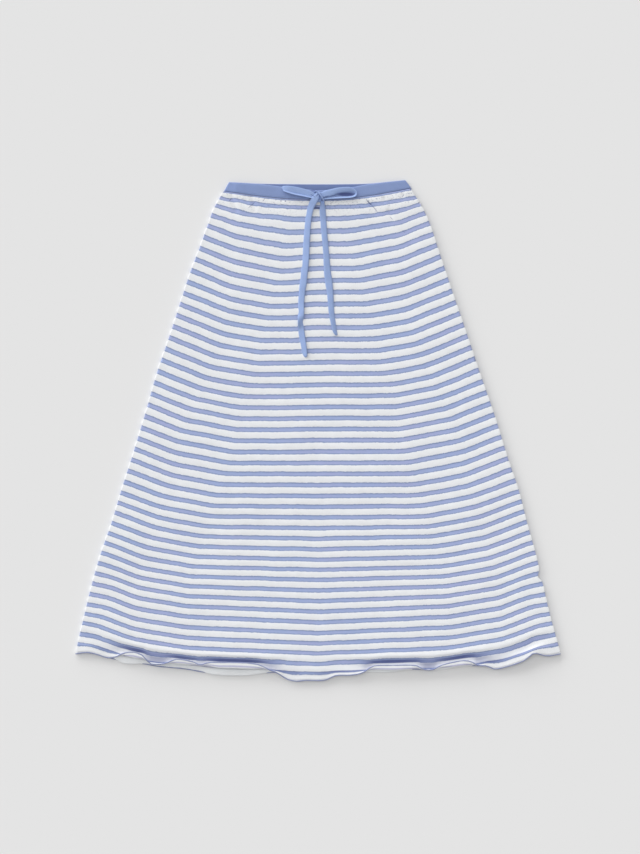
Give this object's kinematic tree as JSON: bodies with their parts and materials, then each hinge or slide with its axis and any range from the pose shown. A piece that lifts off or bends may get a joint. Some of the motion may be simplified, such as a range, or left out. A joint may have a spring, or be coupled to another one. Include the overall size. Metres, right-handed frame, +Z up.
{
  "type": "skirt",
  "caption": "Striped knit A-line midi skirt laid flat, with a plain drawstring waistband tied in a bow and a wavy overlocked hem.",
  "frame": {"origin": "on the surface that the skirt lies on, under the middle of its box", "axes": "+Y from the hem to the waist, +Z up out of the skirt's front, +X to the right as its front is seen from above"},
  "size_m": [0.8343, 0.8612, 0.0128],
  "materials": {
    "striped_knit": "matt ripple knit, off-white ribs with light blue grooves between",
    "band_knit": "matt plain blue knit",
    "tie_knit": "matt plain light blue knit"
  },
  "bodies": {
    "root": {"front_panel": "striped_knit", "back_panel": "striped_knit", "waistband_front": "band_knit", "waistband_back": "band_knit", "drawstring_knot": "tie_knit", "loop_left": "tie_knit", "loop_right": "tie_knit", "tail_left": "tie_knit", "tail_right": "tie_knit"}
  },
  "joints": []
}
